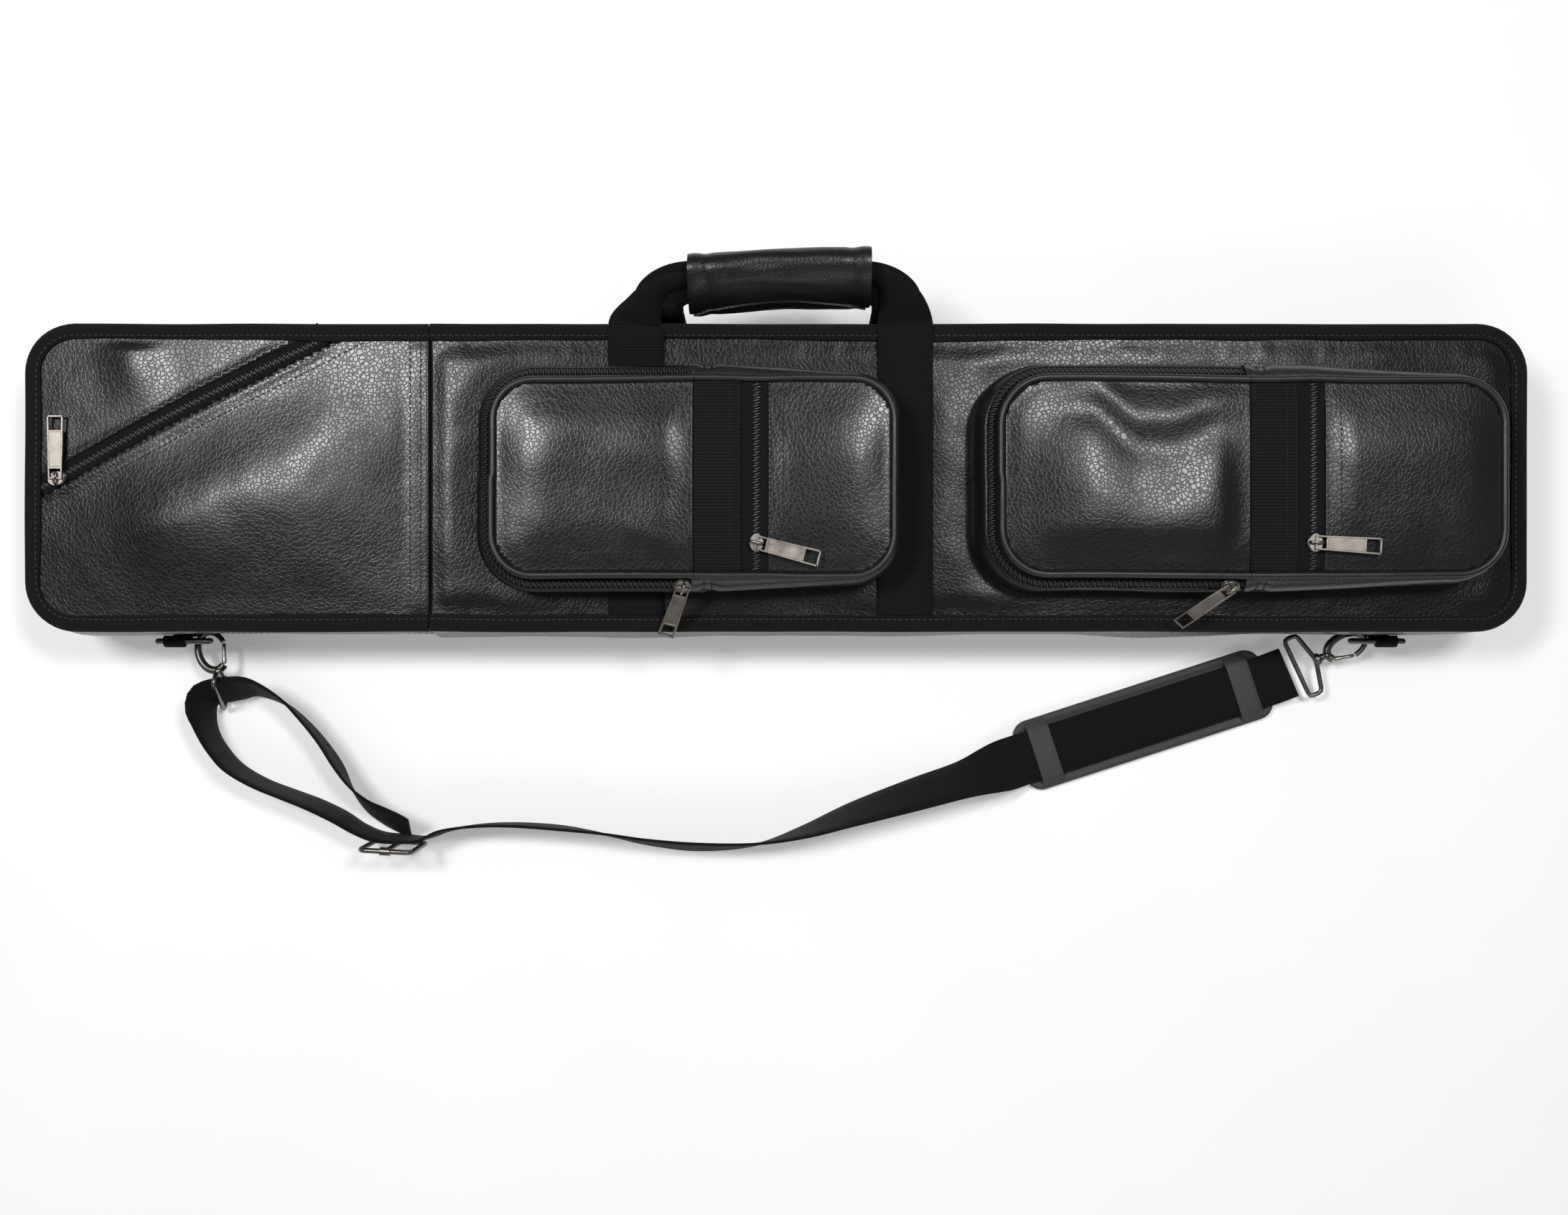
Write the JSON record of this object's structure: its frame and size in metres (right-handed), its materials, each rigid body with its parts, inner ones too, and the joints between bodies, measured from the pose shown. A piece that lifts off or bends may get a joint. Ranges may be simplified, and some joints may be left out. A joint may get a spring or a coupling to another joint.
{
  "type": "cue case",
  "caption": "Soft padded billiard cue case with zipped lid end, two zipped front pockets, webbing carry handle, inner cue tubes and a clip-on shoulder strap",
  "frame": {"origin": "middle of the case's flat back face, which lies on the floor", "axes": "+X along the case to the end that holds the butt ends of the tubes, +Y to the carry handle's side, +Z out of the front, pockets up"},
  "size_m": [0.871, 0.349, 0.1034],
  "materials": {
    "leather_black": "black pebble-grain leatherette, satin",
    "piping_leather": "smooth black leatherette over a cord",
    "binding_black": "black cross-ribbed grosgrain binding tape",
    "webbing_black": "plain woven black polypropylene webbing",
    "ribbed_webbing": "black webbing with lengthwise ribs",
    "zipper_coil": "black nylon coil on woven tape",
    "metal_gunmetal": "dark nickel plated zinc, polished rims",
    "tube_black": "extruded black plastic tube",
    "pad_grey": "dark grey non-slip rubber"
  },
  "bodies": {
    "case": {"back_panel": "leather_black", "back_binding": "binding_black", "case_wall": "leather_black", "front_panel": "leather_black", "front_binding": "binding_black", "main_zip_chain": "zipper_coil", "butt_tube_bank": "tube_black", "shaft_tube_bank": "tube_black", "handle_strap_left": "webbing_black", "handle_strap_right": "webbing_black", "ring_tab_left": "webbing_black", "ring_tab_right": "webbing_black", "left_hook_eye": "metal_gunmetal", "right_hook_eye": "metal_gunmetal", "shoulder_strap": "webbing_black", "mid_pocket_wall": "leather_black", "mid_side_zip": "zipper_coil", "mid_piping": "piping_leather", "mid_web_strip": "ribbed_webbing", "mid_face_zip": "zipper_coil", "mid_right_panel": "leather_black", "large_pocket_wall": "leather_black", "large_side_zip": "zipper_coil", "large_piping": "piping_leather", "large_web_strip": "ribbed_webbing", "large_face_zip": "zipper_coil", "large_right_panel": "leather_black"},
    "lid": {"lid_panel": "leather_black", "lid_corner_panel": "leather_black", "lid_zip_chain": "zipper_coil", "lid_binding": "binding_black", "lid_wall": "leather_black"},
    "mid_flap": {"mid_flap": "leather_black", "mid_flap_piping": "piping_leather"},
    "large_flap": {"large_flap": "leather_black", "large_flap_piping": "piping_leather"},
    "handle": {"handle_loop_front": "webbing_black", "handle_loop_back": "webbing_black", "handle_sleeve": "leather_black"},
    "sleeve_flap": {"sleeve_flap": "leather_black"},
    "slide_buckle": {"slide_buckle": "metal_gunmetal"},
    "shoulder_pad": {"shoulder_pad": "pad_grey"},
    "diagonal_slider": {"diagonal_slider": "metal_gunmetal"},
    "diagonal_pull": {"diagonal_pull": "metal_gunmetal"},
    "main_slider": {"main_slider": "metal_gunmetal"},
    "main_pull": {"main_pull": "metal_gunmetal"},
    "mid_face_slider": {"mid_face_slider": "metal_gunmetal"},
    "mid_face_pull": {"mid_face_pull": "metal_gunmetal"},
    "mid_side_slider": {"mid_side_slider": "metal_gunmetal"},
    "mid_side_pull": {"mid_side_pull": "metal_gunmetal"},
    "large_face_slider": {"large_face_slider": "metal_gunmetal"},
    "large_face_pull": {"large_face_pull": "metal_gunmetal"},
    "large_side_slider": {"large_side_slider": "metal_gunmetal"},
    "large_side_pull": {"large_side_pull": "metal_gunmetal"},
    "d_ring_left": {"d_ring_left": "metal_gunmetal"},
    "left_hook": {"left_hook": "metal_gunmetal"},
    "left_gate": {"left_gate": "metal_gunmetal"},
    "d_ring_right": {"d_ring_right": "metal_gunmetal"},
    "right_hook": {"right_hook": "metal_gunmetal"},
    "right_gate": {"right_gate": "metal_gunmetal"}
  },
  "joints": [
    {"name": "lid_hinge", "type": "hinge", "parent": "case", "child": "lid", "pos_m": [-0.2, 0, 0.0655], "axis": [0, 1, 0], "range_deg": [0, 105]},
    {"name": "mid_flap_hinge", "type": "hinge", "parent": "case", "child": "mid_flap", "pos_m": [-0.0455, 0, 0.09795], "axis": [0, 1, 0], "range_deg": [0, 100]},
    {"name": "large_flap_hinge", "type": "hinge", "parent": "case", "child": "large_flap", "pos_m": [0.264, 0, 0.09795], "axis": [0, 1, 0], "range_deg": [0, 100]},
    {"name": "diagonal_zip", "type": "slide", "parent": "lid", "child": "diagonal_slider", "axis": [0.8832, 0.4691, 0], "range_m": [0, 0.15]},
    {"name": "diagonal_pull_swing", "type": "hinge", "parent": "diagonal_slider", "child": "diagonal_pull", "pos_m": [-0.4145, -0.0005, 0.0675], "axis": [1, 0, 0], "range_deg": [0, 150]},
    {"name": "main_zip", "type": "slide", "parent": "case", "child": "main_slider", "axis": [-1, 0, 0], "range_m": [0, 0.185]},
    {"name": "main_pull_swing", "type": "hinge", "parent": "main_slider", "child": "main_pull", "pos_m": [-0.215, 0.0927, 0.0141], "axis": [0, 0, 1], "range_deg": [0, 150]},
    {"name": "mid_face_zip", "type": "slide", "parent": "case", "child": "mid_face_slider", "axis": [0, 1, 0], "range_m": [0, 0.085]},
    {"name": "mid_face_pull_swing", "type": "hinge", "parent": "mid_face_slider", "child": "mid_face_pull", "pos_m": [-0.0106, -0.039, 0.1009], "axis": [-0.2519, -0.9677, 0], "range_deg": [0, 150]},
    {"name": "mid_side_zip", "type": "slide", "parent": "case", "child": "mid_side_slider", "axis": [-1, 0, 0], "range_m": [0, 0.08]},
    {"name": "mid_side_pull_swing", "type": "hinge", "parent": "mid_side_slider", "child": "mid_side_pull", "pos_m": [-0.052, -0.06448, 0.09127], "axis": [-0.9493, 0.2461, 0.1956], "range_deg": [0, 110]},
    {"name": "large_face_zip", "type": "slide", "parent": "case", "child": "large_face_slider", "axis": [0, 1, 0], "range_m": [0, 0.085]},
    {"name": "large_face_pull_swing", "type": "hinge", "parent": "large_face_slider", "child": "large_face_pull", "pos_m": [0.2989, -0.039, 0.1009], "axis": [-0.063, -0.998, 0], "range_deg": [0, 150]},
    {"name": "large_side_zip", "type": "slide", "parent": "case", "child": "large_side_slider", "axis": [-1, 0, 0], "range_m": [0, 0.1]},
    {"name": "large_side_pull_swing", "type": "hinge", "parent": "large_side_slider", "child": "large_side_pull", "pos_m": [0.2545, -0.06448, 0.09127], "axis": [-0.7058, 0.5545, 0.4408], "range_deg": [0, 110]},
    {"name": "handle_swing", "type": "hinge", "parent": "case", "child": "handle", "pos_m": [0, 0.0883, 0.0634], "axis": [1, 0, 0], "range_deg": [-35, 50], "deforming": ["handle_loop_back"]},
    {"name": "sleeve_flap_hinge", "type": "hinge", "parent": "handle", "child": "sleeve_flap", "pos_m": [0, 0.11456, 0.07894], "axis": [1, 0, 0], "range_deg": [0, 42]},
    {"name": "d_ring_left_swing", "type": "hinge", "parent": "case", "child": "d_ring_left", "pos_m": [-0.357, -0.0953, 0.028], "axis": [1, 0, 0], "range_deg": [-20, 0]},
    {"name": "left_hook_swivel", "type": "hinge", "parent": "case", "child": "left_hook", "pos_m": [-0.33823, -0.11703, 0.01823], "axis": [0.357, -0.9239, 0.138], "range_deg": [-8, 0]},
    {"name": "left_gate_spring", "type": "hinge", "parent": "left_hook", "child": "left_gate", "pos_m": [-0.33628, -0.10956, 0.01736], "axis": [0.0497, -0.1287, -0.9904], "range_deg": [0, 14], "stiffness_Nm_per_rad": 0.05, "springref_deg": -5.73},
    {"name": "d_ring_right_swing", "type": "hinge", "parent": "case", "child": "d_ring_right", "pos_m": [0.362, -0.0953, 0.028], "axis": [1, 0, 0], "range_deg": [-9, 0]},
    {"name": "right_hook_swivel", "type": "hinge", "parent": "case", "child": "right_hook", "pos_m": [0.3331, -0.10579, 0.01264], "axis": [-0.9016, -0.4208, -0.1002], "range_deg": [-6, 8]},
    {"name": "right_gate_spring", "type": "hinge", "parent": "right_hook", "child": "right_gate", "pos_m": [0.34042, -0.10659, 0.01328], "axis": [0.0908, 0.0424, -0.995], "range_deg": [0, 14], "stiffness_Nm_per_rad": 0.05, "springref_deg": -5.73},
    {"name": "buckle_slide", "type": "slide", "parent": "case", "child": "slide_buckle", "axis": [0.9986, -0.0523, 0], "range_m": [-0.01, 0.01]},
    {"name": "pad_slide", "type": "slide", "parent": "case", "child": "shoulder_pad", "axis": [0.9511, 0.309, 0], "range_m": [-0.004, 0.012]}
  ]
}
